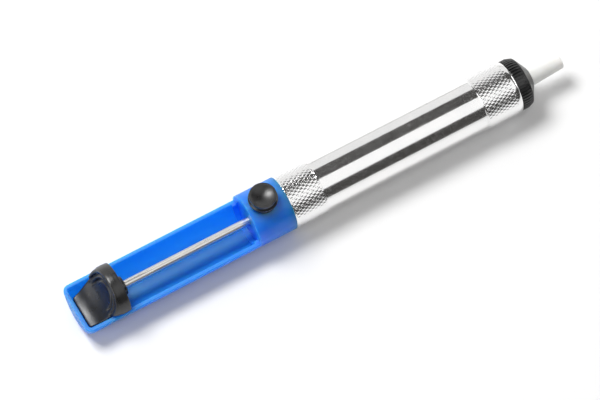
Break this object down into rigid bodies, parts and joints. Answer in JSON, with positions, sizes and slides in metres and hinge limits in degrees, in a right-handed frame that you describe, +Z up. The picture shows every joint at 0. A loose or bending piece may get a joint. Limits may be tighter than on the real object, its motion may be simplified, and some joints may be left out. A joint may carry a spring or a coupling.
{
  "type": "desoldering pump",
  "caption": "Spring-loaded desoldering pump: open half-round handle with thumb plunger, release button, knurled metal barrel, screw-on ribbed cap and tapered nozzle.",
  "frame": {"origin": "on the surface that the pump lies on, under the middle of its length and width", "axes": "+X from the thumb end to the nozzle's tip, +Z up through the release button, +Y to the left seen from behind"},
  "size_m": [0.1958, 0.02, 0.0246],
  "materials": {
    "blue_plastic": "glossy moulded plastic",
    "black_plastic": "semi-gloss moulded plastic",
    "white_plastic": "waxy heat-proof plastic",
    "dark_plastic": "satin moulded plastic",
    "polished_aluminium": "polished, with knurled bands",
    "steel": "bright drawn steel",
    "brass": "machined",
    "rubber": "matte"
  },
  "bodies": {
    "housing": {"handle": "blue_plastic", "barrel": "polished_aluminium", "front_cap": "black_plastic", "front_cap_o_ring": "rubber", "nozzle_tip": "white_plastic", "nozzle_gasket": "rubber", "spring_seat_washer": "steel", "main_spring": "steel", "recoil_bumper": "rubber", "rod_guide_bush": "brass", "button_spring": "steel"},
    "plunger": {"thumb_knob": "black_plastic", "plunger_rod": "steel", "piston": "dark_plastic", "piston_o_ring": "rubber", "piston_clip": "steel", "piston_washer": "steel", "piston_nut": "steel", "cleaning_needle": "steel"},
    "button": {"release_button": "black_plastic", "latch_plate": "steel"}
  },
  "joints": [
    {"name": "plunger_slide", "type": "slide", "parent": "housing", "child": "plunger", "axis": [1, 0, 0], "range_m": [0, 0.049], "stiffness_N_per_m": 200, "springref_m": -0.03, "deforming": ["main_spring"]},
    {"name": "button_press", "type": "slide", "parent": "housing", "child": "button", "axis": [0, 0, -1], "range_m": [0, 0.0015], "stiffness_N_per_m": 400, "springref_m": -0.002, "deforming": ["button_spring"]}
  ]
}
